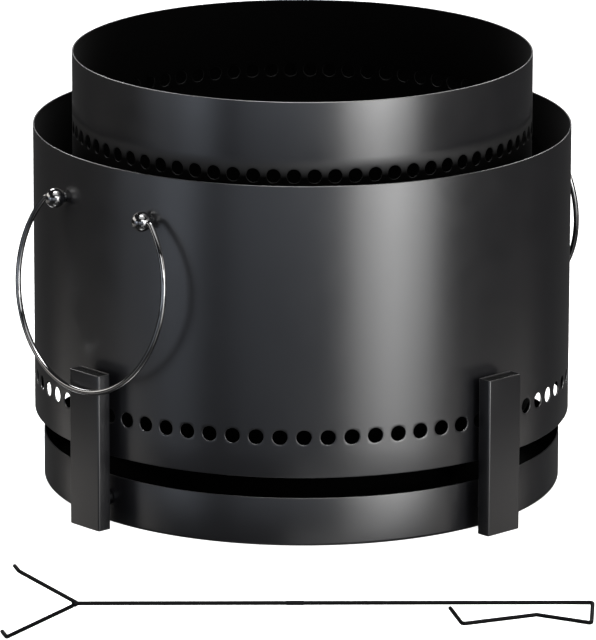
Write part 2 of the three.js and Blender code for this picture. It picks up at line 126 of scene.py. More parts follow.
# Poker, in its own axes: x along the rod from its handle corner, y away from the pit
ROD_RADIUS = 1.8 * MM
ROD_LENGTH = 461.3 * MM
ROD_BEND = 2.6 * MM
FORK_BEND = 2.2 * MM
UPPER_TINE = (60.5 * MM, math.radians(28.8))
LOWER_TINE = (68.2 * MM, math.radians(-26.5))
TINE_HOOK = 17 * MM
HOOK_SPLAY = math.radians(4.9)
LOOP_CORNERS = [
    (15.3 * MM, 57.5 * MM), (59.6 * MM, 35.8 * MM), (132.3 * MM, 62 * MM), (132.8 * MM, 15.5 * MM),
]
COUPLING_ALONG = 268.6 * MM
COUPLING_LENGTH = 15.5 * MM
COUPLING_RADIUS = 2.05 * MM
COUPLING_EDGE = 0.3 * MM
SCREWED_IN = 0.3 * MM
FORK_BEAD_RADIUS = 3 * MM
POKER_CORNER = (486.7 * MM, math.radians(258.92))
POKER_HEADING = math.radians(148.39)

# The photograph's camera, fitted to the rims, holes and legs
CAMERA_AZIMUTH = math.radians(-43.03)
CAMERA_ELEVATION = math.radians(15.19)
CAMERA_DISTANCE = 6.3356
CAMERA_AIM_HEIGHT = 147.26 * MM
CAMERA_AIM_LEFT = 3.5 * MM
CAMERA_ROLL = math.radians(0.139)
CAMERA_LENS = 380.8
CAMERA_SENSOR = 36


# Mesh helpers

WELD_DISTANCE = 0.002 * MM


def unit(vectors):
    """Each vector divided by its length."""
    return vectors / np.linalg.norm(vectors, axis=-1, keepdims=True)


def quads(rows, columns, close_rows=False, close_columns=True):
    """Faces of a rows x columns grid of points that are numbered row by row."""
    i = np.arange(rows if close_rows else rows - 1)[:, None]
    j = np.arange(columns if close_columns else columns - 1)[None, :]
    below = (i + 1) % rows
    right = (j + 1) % columns
    corners = [i * columns + j, i * columns + right, below * columns + right, below * columns + j]
    return np.stack(np.broadcast_arrays(*corners), axis=-1).reshape(-1, 4)


def rounded(corners, radii, steps=5, closed=False):
    """The line through the corners, each turned by an arc of its radius.

    u and w point from a corner to its neighbours, half is half the angle between them, and
    the arc's centre is corner + unit(u + w) * radius / sin(half).
    """
    corners = np.asarray(corners, float)
    radii = np.broadcast_to(radii, len(corners))
    path = []
    for i, (corner, radius) in enumerate(zip(corners, radii)):
        if radius == 0 or not closed and i in (0, len(corners) - 1):
            path.append(corner[None])
            continue
        u = unit(corners[i - 1] - corner)
        w = unit(corners[(i + 1) % len(corners)] - corner)
        half = math.acos(np.clip(u @ w, -1, 1)) / 2
        middle = unit(u + w)
        side = unit(w - u)
        turn = np.linspace(half - QUARTER, QUARTER - half, steps + 1)[:, None]
        centre = corner + middle * radius / math.sin(half)
        path.append(centre + radius * (np.sin(turn) * side - np.cos(turn) * middle))
    return np.concatenate(path)


def turned(profile, columns, first=0.0, closed=False):
    """A profile turned round Z: (r, z) becomes (r cos a, r sin a, z) at evenly spaced angles a."""
    r, z = np.asarray(profile, float).T[:, :, None]
    angle = first + np.arange(columns) * FULL_TURN / columns
    points = np.stack([r * np.cos(angle), r * np.sin(angle), z + 0 * angle], axis=-1)
    return points, quads(len(r), columns, close_rows=closed)


def moved(part, matrix):
    """A (points, faces) pair with its points taken through a 4x4 matrix."""
    points, faces = part
    turn = np.array(matrix.to_3x3())
    return np.asarray(points).reshape(-1, 3) @ turn.T + np.array(matrix.translation), faces


def about_z(degrees):
    """A turn round the pit's axis."""
    return Matrix.Rotation(math.radians(degrees), 4, "Z")


def outward_from_axis(degrees, height):
    """A place whose own Z axis points away from the pit's axis, at an azimuth and a height."""
    return Matrix.Translation((0, 0, height)) @ about_z(degrees) @ Matrix.Rotation(QUARTER, 4, "Y")


def add_piece(name, parts, slot, body="root", node=None, sharp_degrees=35):
    """A closed mesh of (points, faces) pairs, welded where they meet, riding on a body."""
    clouds = [np.asarray(points, float).reshape(-1, 3) for points, _ in parts]
    starts = np.cumsum([0] + [len(cloud) for cloud in clouds[:-1]])
    faces = np.concatenate([part[1] + start for part, start in zip(parts, starts)])
    mesh = bpy.data.meshes.new(name)
    mesh.from_pydata(np.concatenate(clouds).tolist(), [], faces.tolist())
    weld = bmesh.new()
    weld.from_mesh(mesh)
    bmesh.ops.remove_doubles(weld, verts=weld.verts, dist=WELD_DISTANCE)
    bmesh.ops.recalc_face_normals(weld, faces=weld.faces)
    weld.to_mesh(mesh)
    weld.free()
    mesh.shade_smooth()
    mesh.set_sharp_from_angle(angle=math.radians(sharp_degrees))
    mesh.materials.append(FINISHES[slot])
    piece = bpy.data.objects.new(name, mesh)
    bpy.context.scene.collection.objects.link(piece)
    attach(piece, body)
    if node:
        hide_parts(node)
    return piece


# Finishes

def linear(hex_colour):
    """An sRGB hex colour such as "#2b2c2e" as linear red, green, blue and alpha."""
    share = np.array([int(hex_colour[i:i + 2], 16) for i in (1, 3, 5)]) / 255
    low = share / 12.92
    high = ((share + 0.055) / 1.055) ** 2.4
    return (*np.where(share <= 0.04045, low, high).tolist(), 1.0)


def add_node(tree, kind, inputs=None, **settings):
    """Adds one node with its settings. inputs maps a socket to its value or to another node's output.

    The sockets of a Mix node share their names, so they go by number: 0 is the share of the second input,
    2 and 3 are the two numbers, with output 0, and 6 and 7 the two colours, with output 2.
    """
    node = tree.nodes.new(kind)
    for name, value in settings.items():
        setattr(node, name, value)
    for socket, value in (inputs or {}).items():
        if isinstance(value, bpy.types.NodeSocket):
            tree.links.new(value, node.inputs[socket])
        else:
            node.inputs[socket].default_value = value
    return node


def new_material(name):
    """A material that has no nodes yet, and its node tree."""
    material = bpy.data.materials.new(name)
    material.use_nodes = True
    material.node_tree.nodes.clear()
    return material, material.node_tree


def add_surface(tree, inputs):
    """Ends a material's tree with a Principled shader that has these inputs."""
    shader = add_node(tree, "ShaderNodeBsdfPrincipled", inputs)
    add_node(tree, "ShaderNodeOutputMaterial", {"Surface": shader.outputs["BSDF"]})


def blotches(tree, size, detail=2.0, roughness=0.5):
    """Noise on Object coordinates, with a scale that makes its blotches about size across, in metres."""
    place = add_node(tree, "ShaderNodeTexCoord")
    return add_node(tree, "ShaderNodeTexNoise", {
        "Vector": place.outputs["Object"], "Scale": 0.5 / size, "Detail": detail, "Roughness": roughness,
    }).outputs["Fac"]


def mottled(tree, size, low=0, high=1, **noise):
    """Blotches with values from low to high, where the noise goes from NOISE_LOW to NOISE_HIGH."""
    return add_node(tree, "ShaderNodeMapRange", {
        "Value": blotches(tree, size, **noise), "From Min": NOISE_LOW, "From Max": NOISE_HIGH,
        "To Min": low, "To Max": high,
    }).outputs["Result"]


def grained(tree, size, strength, depth, **noise):
    """The normals of a surface with a fine grain, whose height is noise."""
    return add_node(tree, "ShaderNodeBump", {
        "Height": blotches(tree, size, **noise), "Strength": strength, "Distance": depth,
    }).outputs["Normal"]


NOISE_LOW = 0.3
NOISE_HIGH = 0.7


def sooted_and_shaded(tree, zones):
    """How much soot and painted shade lies on a wall: 1 nearer the pit's axis than a zone's radius, between
    its two heights.

    It fades out over the zones' fade length inside those heights.
    """
    place = add_node(tree, "ShaderNodeTexCoord").outputs["Object"]
    height = add_node(tree, "ShaderNodeSeparateXYZ", {0: place}).outputs["Z"]
    flat = add_node(tree, "ShaderNodeVectorMath", {0: place, 1: (1, 1, 0)}, operation="MULTIPLY").outputs[0]
    from_axis = add_node(tree, "ShaderNodeVectorMath", {0: flat}, operation="LENGTH").outputs["Value"]
    soot_and_shade = 0.0
    for radius, low, high in zones:
        near = add_node(tree, "ShaderNodeMath", {0: from_axis, 1: radius}, operation="LESS_THAN").outputs[0]
        above = add_node(tree, "ShaderNodeMapRange", {
            "Value": height, "From Min": low, "From Max": low + SOOT_AND_SHADE_FADE}).outputs[0]
        below = add_node(tree, "ShaderNodeMapRange", {
            "Value": height, "From Min": high, "From Max": high - SOOT_AND_SHADE_FADE}).outputs[0]
        between = add_node(tree, "ShaderNodeMath", {0: above, 1: below}, operation="MINIMUM").outputs[0]
        zone = add_node(tree, "ShaderNodeMath", {0: near, 1: between}, operation="MINIMUM").outputs[0]
        soot_and_shade = add_node(tree, "ShaderNodeMath", {0: soot_and_shade, 1: zone}, operation="MAXIMUM").outputs[0]
    return soot_and_shade


def satin_powder_coat(name, soot_and_shade_zones):
    """Heat-proof silicone powder coat on mild steel, baked on: a black film with a satin gloss.

    Nearly all that shows is the film's gloss: long soft streaks of light, and dark where it mirrors the
    next wall. The film's peel is about 1 mm across, drawn at 2.5 mm so that it shows. Broad, faint clouds
    in colour and gloss come from uneven powder. Soot and painted shade have no gloss at all, so where they
    lie the surface is a black metal that mirrors next to nothing: soot and painted shade in the recesses
    where little light reaches, and painted shade alone round the drum's upper air holes.
    """
    material, tree = new_material(name)
    coat = add_node(tree, "ShaderNodeMix", {
        0: mottled(tree, 45 * MM, detail=3), 6: linear("#060608"), 7: linear("#09090b"),
    }, data_type="RGBA").outputs[2]
    gloss = mottled(tree, 14 * MM, COAT_ROUGHNESS - COAT_UNEVEN, COAT_ROUGHNESS + COAT_UNEVEN)
    # Soot and painted shade: glossless black in the recesses, and a painted dark band on the drum
    soot_and_shade = sooted_and_shaded(tree, soot_and_shade_zones)
    add_surface(tree, {
        "Base Color": add_node(tree, "ShaderNodeMix", {
            0: soot_and_shade, 6: coat, 7: linear(SOOT_AND_SHADE)}, data_type="RGBA").outputs[2],
        "Roughness": add_node(tree, "ShaderNodeMix", {0: soot_and_shade, 2: gloss, 3: SOOT_AND_SHADE_ROUGHNESS}).outputs[0],
        "Metallic": soot_and_shade,
        "IOR": 1.6,
        "Normal": grained(tree, 2.5 * MM, 0.2, 0.02 * MM),
    })
    return material


COAT_ROUGHNESS = 0.3
COAT_UNEVEN = 0.012
# Soot and painted shade share this near-black colour, its roughness and its fade
SOOT_AND_SHADE = "#050505"
SOOT_AND_SHADE_ROUGHNESS = 0.9
SOOT_AND_SHADE_FADE = 18 * MM


def gloss_black_enamel():
    """Baked alkyd enamel under clear lacquer on drawn wire and turned knobs: deep black, near a mirror."""
    material, tree = new_material("gloss_black_enamel")
    add_surface(tree, {
        "Base Color": linear("#050506"),
        "Roughness": mottled(tree, 4 * MM, 0.06, 0.12),
        "IOR": 1.6,
        "Coat Weight": 1.0,
        "Coat Roughness": 0.05,
        "Coat IOR": 1.8,
        "Normal": grained(tree, 1.5 * MM, 0.1, 0.01 * MM),
    })
    return material


def dipped_stove_paint():
    """Dipped stove paint on bar stock: matt black, scuffed and dusted by ash, with hardly any shine."""
    material, tree = new_material("dipped_stove_paint")
    scuffs = mottled(tree, 6 * MM, detail=5, roughness=0.7)
    add_surface(tree, {
        "Base Color": add_node(tree, "ShaderNodeMix", {
            0: scuffs, 6: linear("#030304"), 7: linear("#070707")}, data_type="RGBA").outputs[2],
        "Roughness": add_node(tree, "ShaderNodeMapRange", {
            "Value": scuffs, "From Min": NOISE_LOW, "From Max": NOISE_HIGH, "To Min": 0.5, "To Max": 0.62,
        }).outputs["Result"],
        "IOR": 1.45,
        "Specular IOR Level": 0.05,
        "Normal": grained(tree, 1.2 * MM, 0.2, 0.03 * MM),
    })
    return material


def moulded_polyethylene():
    """Injection-moulded polyethylene tube plugs: matt black with a fine spark-eroded grain."""
    material, tree = new_material("moulded_polyethylene")
    grain = 1.2 * MM
    add_surface(tree, {
        "Base Color": add_node(tree, "ShaderNodeMix", {
            0: blotches(tree, grain, detail=1), 6: linear("#040404"), 7: linear("#090909"),
        }, data_type="RGBA").outputs[2],
        "Roughness": 0.75,
        "IOR": 1.5,
        "Specular IOR Level": 0.06,
        "Normal": grained(tree, grain, 0.3, 0.05 * MM, detail=1),
    })
    return material


def black_zinc_plate():
    """Black passivated zinc plate on rolled steel: a dark metal with a cloudy, oily sheen."""
    material, tree = new_material("black_zinc_plate")
    clouds = mottled(tree, 5 * MM, detail=4)
    add_surface(tree, {
        "Base Color": add_node(tree, "ShaderNodeMix", {
            0: clouds, 6: linear("#2a2b2d"), 7: linear("#3a3a3c")}, data_type="RGBA").outputs[2],
        "Roughness": add_node(tree, "ShaderNodeMapRange", {
            "Value": clouds, "From Min": NOISE_LOW, "From Max": NOISE_HIGH, "To Min": 0.32, "To Max": 0.48,
        }).outputs["Result"],
        "Metallic": 1.0,
        "Normal": grained(tree, 1.5 * MM, 0.15, 0.02 * MM),
    })
    return material


def sooted_cast_iron():
    """Cast iron with its sand-cast skin, browned in patches by heat and dulled by ash."""
    material, tree = new_material("sooted_cast_iron")
    add_surface(tree, {
        "Base Color": add_node(tree, "ShaderNodeMix", {
            0: mottled(tree, 30 * MM, detail=4), 6: linear("#171718"), 7: linear("#231f1c"),
        }, data_type="RGBA").outputs[2],
        "Roughness": 0.8,
        "Metallic": 0.3,
        "Normal": grained(tree, 1.6 * MM, 0.6, 0.2 * MM, detail=4),
    })
    return material


# Zones of soot and painted shade as (radius, lowest, highest): inside the base pan, inside the shell above
# it, inside the drum, and on the drum's outer side round its upper air holes and its foot. Inside and down
# in the gaps they are soot and painted shade where little light reaches; round the drum's upper holes the
# band is painted shade alone, the dark that the gap under the shell's rim mirrors there. Each reaches a
# little past its wall, and a zone from BELOW_ALL to ABOVE_ALL has no end.
SOOT_AND_SHADE_REACH = 0.1 * MM
BELOW_ALL = -1
ABOVE_ALL = 1
# Soot and painted shade inside the base pan and inside the shell, where little light reaches
SHELL_SOOT_AND_SHADE = [
    (BASE_RADIUS - SHEET + SOOT_AND_SHADE_REACH, BELOW_ALL, ABOVE_ALL),
    (SHELL_RADIUS - SHEET + SOOT_AND_SHADE_REACH, BASE_HIGH, ABOVE_ALL),
]
DRUM_SOOT_AND_SHADE = [
    (DRUM_RADIUS - SHEET + SOOT_AND_SHADE_REACH, BELOW_ALL, ABOVE_ALL),
    # Painted shade: a dark band round the drum's upper holes, standing in for the gap's dark reflection
    (DRUM_RADIUS + SOOT_AND_SHADE_REACH, SHELL_HIGH - 2.5 * SOOT_AND_SHADE_FADE, SHELL_HIGH + 0.9 * SOOT_AND_SHADE_FADE),
    # Soot and painted shade on the drum's foot, down in the gap inside the shell
    (DRUM_RADIUS + SOOT_AND_SHADE_REACH, BELOW_ALL, SHELL_HOLE_HEIGHT + 2 * SOOT_AND_SHADE_FADE),
]

FINISHES = {
    "shell_paint": satin_powder_coat("satin_powder_coat", SHELL_SOOT_AND_SHADE),
    # The drum's coat carries soot and the painted shade of the zones above
    "drum_paint": satin_powder_coat("fired_and_shaded_powder_coat", DRUM_SOOT_AND_SHADE),
    "handle_gloss": gloss_black_enamel(),
    "poker_paint": dipped_stove_paint(),
    "black_plug": moulded_polyethylene(),
    "fastener_steel": black_zinc_plate(),
    "grate_iron": sooted_cast_iron(),
}


# Sheet walls with punched holes

def cell_border(across, up):
    """Shares of a cell's width and height round its border, from its lower left corner."""
    s = np.arange(across) / across
    t = np.arange(up) / up
    sides = [(s, 0 * s), (1 + 0 * t, t), (1 - s, 1 + 0 * s), (0 * t, 1 - t)]
    return np.concatenate([np.stack(side, axis=-1) for side in sides])


def punched(border, centre, hole_radius, edge, sheet, rings=3, steps=3):
    """A sheet from a closed border in to a round hole, through it, and out again behind.

    A point is border + share * (centre + reach * outward - border), where outward is the unit
    direction from the centre to the border point. The hole's two edges are quarter rounds.
    """
    turn = np.linspace(0, QUARTER, steps + 1)[1:]
    share = np.concatenate([np.linspace(0, 1, rings + 1), np.ones(steps)])
    reach = np.concatenate([np.full(rings + 1, hole_radius + edge), hole_radius + edge * (1 - np.sin(turn))])
    depth = np.concatenate([np.zeros(rings + 1), edge * (1 - np.cos(turn))])
    share = np.concatenate([share, share[::-1]])[:, None, None]
    reach = np.concatenate([reach, reach[::-1]])[:, None, None]
    depth = np.concatenate([depth, sheet - depth[::-1]])
    outward = unit(border - centre)[..., None, :, :]
    border = border[..., None, :, :]
    centre = centre[..., None, :, :]
    return border + share * (centre + reach * outward - border), depth


def cell_faces(cells, stations, perimeter):
    """The faces of many cells, each a closed grid of stations by border points."""
    one = quads(stations, perimeter)
    return (one[None] + np.arange(cells)[:, None, None] * stations * perimeter).reshape(-1, 4)


def punched_band(radius, height, count, cells, hole_radius, first, sheet):
    """Cells of a round wall, each with a hole: x along the wall becomes angle = first + x / radius."""
    cell = FULL_TURN / count
    across = WALL_COLUMNS // count
    border = (cell_border(across, CELL_UP) - 0.5) * (cell * radius, CELL_HEIGHT)
    flat, depth = punched(border, np.zeros((1, 2)), hole_radius, HOLE_EDGE, sheet)
    angle = first + np.asarray(cells)[:, None, None] * cell + flat[..., 0] / radius
    r = (radius - depth)[:, None]
    points = np.stack([r * np.cos(angle), r * np.sin(angle), height + flat[..., 1] + 0 * angle], axis=-1)
    return points, cell_faces(len(cells), *flat.shape[:2])


def plain_band(radius, height, count, cells, first, sheet):
    """Cells of a round wall with no hole: the outer and the inner face of each."""
    across = WALL_COLUMNS // count
    s = np.linspace(-0.5, 0.5, across + 1)[None, :]
    t = np.linspace(-0.5, 0.5, CELL_UP + 1)[:, None]
    grids = []
    for r in (radius, radius - sheet):
        for cell in cells:
            angle = first + (cell + s) * FULL_TURN / count + 0 * t
            z = height + t * CELL_HEIGHT + 0 * s
            grids.append((np.stack([r * np.cos(angle), r * np.sin(angle), z], axis=-1),
                          quads(CELL_UP + 1, across + 1, close_columns=False)))
    return grids


def wall_profiles(radius, sheet, low_corners, top, holes_at):
    """The closed outline of a wall, cut at the band of holes: the part below it and the part above."""
    band_low = holes_at - CELL_HEIGHT / 2
    band_high = holes_at + CELL_HEIGHT / 2
    inner = radius - sheet
    below = [(inner, band_low), *low_corners, (radius, band_low)]
    above = [(radius, band_high), (radius, top), (inner, top), (inner, band_high)]
    return below, above


def add_outer_shell():
    """The shell's wall, turned below and above its ring of air holes."""
    inner = SHELL_RADIUS - SHEET
    low_corners = [(inner, SHELL_LOW), (SHELL_RADIUS, SHELL_LOW)]
    below, above = wall_profiles(SHELL_RADIUS, SHEET, low_corners, SHELL_HIGH, SHELL_HOLE_HEIGHT)
    half_cell = FULL_TURN / HOLE_COUNT / 2
    add_piece("shell_sheet", [
        turned(rounded(below, SHEET_EDGE), WALL_COLUMNS),
        punched_band(SHELL_RADIUS, SHELL_HOLE_HEIGHT, HOLE_COUNT, range(HOLE_COUNT), SHELL_HOLE_RADIUS,
                     half_cell, SHEET),
        turned(rounded(above, SHEET_EDGE), WALL_COLUMNS),
    ], "shell_paint", node="outer_shell")


def add_burn_drum():
    """The drum's wall, with a ledge turned in at its foot that carries the grate."""
    inner = DRUM_RADIUS - SHEET
    ledge = inner - LEDGE_WIDTH
    floor = DRUM_LOW + SHEET
    low_corners = [(inner, floor), (ledge, floor), (ledge, DRUM_LOW), (DRUM_RADIUS, DRUM_LOW)]
    bends = [0, SHEET, SHEET_EDGE, SHEET_EDGE, 2 * SHEET, 0]
    below, above = wall_profiles(DRUM_RADIUS, SHEET, low_corners, DRUM_HIGH, SHELL_HIGH)
    half_cell = FULL_TURN / HOLE_COUNT / 2
    add_piece("drum_sheet", [
        turned(rounded(below, bends), WALL_COLUMNS, -half_cell),
        punched_band(DRUM_RADIUS, SHELL_HIGH, HOLE_COUNT, range(HOLE_COUNT), DRUM_HOLE_RADIUS, 0, SHEET),
        turned(rounded(above, SHEET_EDGE), WALL_COLUMNS, -half_cell),
    ], "drum_paint", body="drum", node="burn_drum")


def add_base_pan():
    """A pressed pan: its floor, bend and rim turned round Z."""
    inner = BASE_RADIUS - SHEET
    profile = rounded([
        (0, BASE_LOW), (BASE_RADIUS, BASE_LOW), (BASE_RADIUS, BASE_HIGH),
        (inner, BASE_HIGH), (inner, BASE_LOW + SHEET), (0, BASE_LOW + SHEET),
    ], [0, PAN_BEND, SHEET_EDGE, SHEET_EDGE, PAN_BEND - SHEET, 0])
    add_piece("base_pan_sheet", [turned(profile, WALL_COLUMNS // 2)], "shell_paint", node="base_pan")


def add_ash_pan():
    """A drawn tray with two finger holes in a wall of 36 cells."""
    inner = ASH_RADIUS - ASH_SHEET
    holes_at = ASH_HIGH - LIFT_HOLE_DROP
    count = HOLE_COUNT // 2
    band_low = holes_at - CELL_HEIGHT / 2
    floor = rounded([
        (inner, band_low), (inner, ASH_LOW + ASH_SHEET), (0, ASH_LOW + ASH_SHEET),
        (0, ASH_LOW), (ASH_RADIUS, ASH_LOW), (ASH_RADIUS, band_low),
    ], [0, PAN_BEND - ASH_SHEET, 0, 0, PAN_BEND, 0])
    # The band ends at the rim itself, so only the rim's flat top is left above it
    rim = [(ASH_RADIUS, holes_at + CELL_HEIGHT / 2), (inner, holes_at + CELL_HEIGHT / 2)]
    with_hole = [count // 4, 3 * count // 4]
    without = [cell for cell in range(count) if cell not in with_hole]
    columns_from = -FULL_TURN / count / 2
    add_piece("ash_tray_sheet", [
        turned(floor, WALL_COLUMNS, columns_from),
        punched_band(ASH_RADIUS, holes_at, count, with_hole, LIFT_HOLE_RADIUS, 0, ASH_SHEET),
        *plain_band(ASH_RADIUS, holes_at, count, without, 0, ASH_SHEET),
        turned(rim, WALL_COLUMNS, columns_from),
    ], "drum_paint", body="ash_pan", node="ash_pan")


def add_fuel_grate():
    """A thick disc whose rings of holes are cells of a polar grid, centred at (r cos a, r sin a)."""
    sheet = GRATE_HIGH - GRATE_LOW
    parts = []
    for ring in range(1, GRATE_RINGS + 1):
        count = HOLES_PER_RING * ring
        share = cell_border(GRATE_COLUMNS // count, CELL_UP)
        angles = np.arange(count)[:, None] * FULL_TURN / count
        angle = angles + (share[:, 0] - 0.5) * FULL_TURN / count
        r = (ring + share[:, 1] - 0.5) * GRATE_PITCH
        border = np.stack([r * np.cos(angle), r * np.sin(angle)], axis=-1)
        centre = ring * GRATE_PITCH * np.stack([np.cos(angles), np.sin(angles)], axis=-1)
        flat, depth = punched(border, centre, GRATE_HOLE_RADIUS, GRATE_HOLE_EDGE, sheet)
        height = GRATE_HIGH - depth[:, None] + 0 * flat[..., 0]
        points = np.concatenate([flat, height[..., None]], axis=-1)
        parts.append((points, cell_faces(count, *flat.shape[1:3])))
    first = -FULL_TURN / HOLES_PER_RING / 2
    middle = GRATE_PITCH / 2
    outside = (GRATE_RINGS + 0.5) * GRATE_PITCH
    hole = rounded([(middle, GRATE_HIGH), (GRATE_HOLE_RADIUS, GRATE_HIGH), (GRATE_HOLE_RADIUS, GRATE_LOW),
                    (middle, GRATE_LOW)], GRATE_HOLE_EDGE)
    rim = rounded([(outside, GRATE_LOW), (GRATE_RADIUS, GRATE_LOW), (GRATE_RADIUS, GRATE_HIGH),
                   (outside, GRATE_HIGH)], GRATE_HOLE_EDGE)
    parts += [turned(hole, GRATE_COLUMNS, first), turned(rim, GRATE_COLUMNS, first)]
    add_piece("grate_casting", parts, "grate_iron", body="grate", node="fuel_grate")


# Legs

def tube_section(depth, width, corner, stations, steps=6):
    """A rounded rectangle drawn in by each station's inset, at each station's height.

    Round the corners, (x, y) = signs * (half size - inset - radius) + radius * (cos a, sin a), where the
    radius is the corner's less the inset.
    """
    inset, height = np.asarray(stations).T[:, :, None]
    radius = np.maximum(corner - inset, 0)
    turn = np.concatenate([side * QUARTER + np.linspace(0, QUARTER, steps + 1) for side in range(4)])
    sign_x = np.repeat([1, -1, -1, 1], steps + 1)
    sign_y = np.repeat([1, 1, -1, -1], steps + 1)
    x = sign_x * (depth / 2 - inset - radius) + radius * np.cos(turn)
    y = sign_y * (width / 2 - inset - radius) + radius * np.sin(turn)
    return np.stack([x, y, height + 0 * x], axis=-1)


def add_legs():
    """Tubes and their end plugs: a rounded rectangle carried along the outline of a wall or of a plug."""
    (x0, y0, z0), (x1, y1, z1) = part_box("leg_1")
    tube = rounded([(0, z0), (0, z1), (LEG_WALL, z1), (LEG_WALL, z0)], LEG_EDGE, steps=4, closed=True)
    section = tube_section(x1 - x0, y1 - y0, LEG_CORNER, tube)
    leg = (section, quads(len(section), section.shape[1], close_rows=True))
    to_leg = Matrix.Translation(((x0 + x1) / 2, 0, 0))
    for number, degrees in enumerate(LEG_AZIMUTHS, start=1):
        place = about_z(degrees) @ to_leg
        add_piece(f"leg_tube_{number}", [moved(leg, place)], "shell_paint", node=f"leg_{number}")
        for node, name in (("leg_cap", "cap_plug"), ("leg_foot", "foot_plug")):
            (px0, py0, pz0), (px1, py1, pz1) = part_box(f"{node}_1")
            middle = (px1 - px0) / 2
            outline = rounded([(middle, pz0), (0, pz0), (0, pz1), (middle, pz1)], PLUG_EDGE, steps=4)
            plug = tube_section(px1 - px0, py1 - py0, LEG_CORNER - LEG_WALL, outline)
            add_piece(f"{name}_{number}", [moved((plug, quads(*plug.shape[:2])), place)], "black_plug",
                      node=f"{node}_{number}")


# Fasteners and brackets

def fastener(rows, columns=72):
    """Rows of (radius, height, across corners) turned round Z.

    Where the hexagon's corner radius c isn't zero, the radius at angle a is cut to
    c cos 30 / cos(a - middle of the nearest flat).
    """
    radius, height, corner = np.asarray(rows, float).T[:, :, None]
    angle = np.arange(columns) * FULL_TURN / columns
    from_flat = (angle + math.pi / 6) % (math.pi / 3) - math.pi / 6
    flat = corner * math.cos(math.pi / 6) / np.cos(from_flat)
    r = np.where(corner > 0, np.minimum(radius, flat), radius)
    points = np.stack([r * np.cos(angle), r * np.sin(angle), height + 0 * angle], axis=-1)
    return points, quads(len(rows), columns)


BOLT_RADIUS = 3 * MM
BOLT_HEX_CORNER = 5.6 * MM
BOLT_HEAD = 4 * MM
BOLT_CHAMFER = 0.5 * MM
SPACER_RADIUS = 7 * MM
SPACER_EDGE = 0.5 * MM


def hex_bolt(start, stop):
    """A hexagon head from start, chamfered, and a round shank to stop."""
    face = BOLT_HEX_CORNER * math.cos(math.pi / 6)
    seat = start + BOLT_HEAD
    return fastener([
        (0, start, 0), (face - BOLT_CHAMFER, start, 0), (face, start + BOLT_CHAMFER / 4, BOLT_HEX_CORNER),
        (BOLT_HEX_CORNER, start + BOLT_CHAMFER, BOLT_HEX_CORNER),
        (BOLT_HEX_CORNER, seat, BOLT_HEX_CORNER), (BOLT_RADIUS, seat, 0),
        (BOLT_RADIUS, stop - BOLT_CHAMFER, 0), (BOLT_RADIUS - BOLT_CHAMFER, stop, 0), (0, stop, 0),
    ])


def sleeve(start, stop):
    """A plain spacer tube."""
    corners = [(BOLT_RADIUS, start), (SPACER_RADIUS, start), (SPACER_RADIUS, stop), (BOLT_RADIUS, stop)]
    return turned(rounded(corners, SPACER_EDGE, steps=3, closed=True), 48, closed=True)


def add_leg_fasteners():
    """A bolt and a spacer at each leg, through the shell and through the base pan."""
    for place in ("shell", "base"):
        low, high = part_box(f"{place}_bolt_1")
        spacer_low, spacer_high = span(f"{place}_spacer_1", X)
        height = (low.z + high.z) / 2
        for number, degrees in enumerate(LEG_AZIMUTHS, start=1):
            out = outward_from_axis(degrees, height)
            add_piece(f"{place}_hex_bolt_{number}", [moved(hex_bolt(low.x, high.x), out)], "fastener_steel",
                      node=f"{place}_bolt_{number}")
            add_piece(f"{place}_sleeve_{number}", [moved(sleeve(spacer_low, spacer_high), out)],
                      "fastener_steel", node=f"{place}_spacer_{number}")


BRACKET_SHEET = 2 * MM
BRACKET_BEND = 2.5 * MM
BRACKET_SHELF = 76 * MM
BRACKET_STEP = 4 * MM
BRACKET_RUN = 3 * MM
DRUM_SIDE_CLEAR = 1 * MM
BRACKET_BEVEL = 0.35 * MM


def add_drum_brackets():
    """A strip along a bent centre line: each station has four corners, half a sheet up and down."""
    (x0, y0, z0), (x1, y1, z1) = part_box("drum_bracket_1")
    half = BRACKET_SHEET / 2
    shelf = BRACKET_SHELF - half
    step_in = DRUM_RADIUS + DRUM_SIDE_CLEAR
    line = rounded([
        (x1 - half, z1), (x1 - half, shelf), (step_in + BRACKET_RUN, shelf),
        (step_in, shelf - BRACKET_STEP), (x0, shelf - BRACKET_STEP),
    ], BRACKET_BEND, steps=5)
    along = unit(np.gradient(line, axis=0))
    across = np.stack([-along[:, 1], along[:, 0]], axis=-1) * half
    sides = [(line + across, y0), (line + across, y1), (line - across, y1), (line - across, y0)]
    corners = np.stack([np.stack([p[:, 0], 0 * p[:, 0] + y, p[:, 1]], axis=-1) for p, y in sides], axis=1)
    ends = np.array([[0, 1, 2, 3], [0, 1, 2, 3]]) + [[0], [4 * (len(line) - 1)]]
    strip = (corners, np.concatenate([quads(len(line), 4), ends]))
    for number, degrees in enumerate(LEG_AZIMUTHS, start=1):
        piece = add_piece(f"joggled_bracket_{number}", [moved(strip, about_z(degrees))], "fastener_steel",
                          node=f"drum_bracket_{number}")
        bevel = piece.modifiers.new("edges", "BEVEL")
        bevel.width = BRACKET_BEVEL
        bevel.segments = 2


# Round bars

# Any direction that no bar starts along
NO_BARS_WAY = (0.3, 0.5, 0.8)
BAR_END_EDGE = 0.5 * MM


def carried(directions):
    """A normal at each station, turned along the path with no twist: the last one, less its share along."""
    normal = np.cross(directions[0], NO_BARS_WAY)
    normals = []
    for direction in directions:
        normal = unit(normal - (normal @ direction) * direction)
        normals.append(normal)
    return np.array(normals)


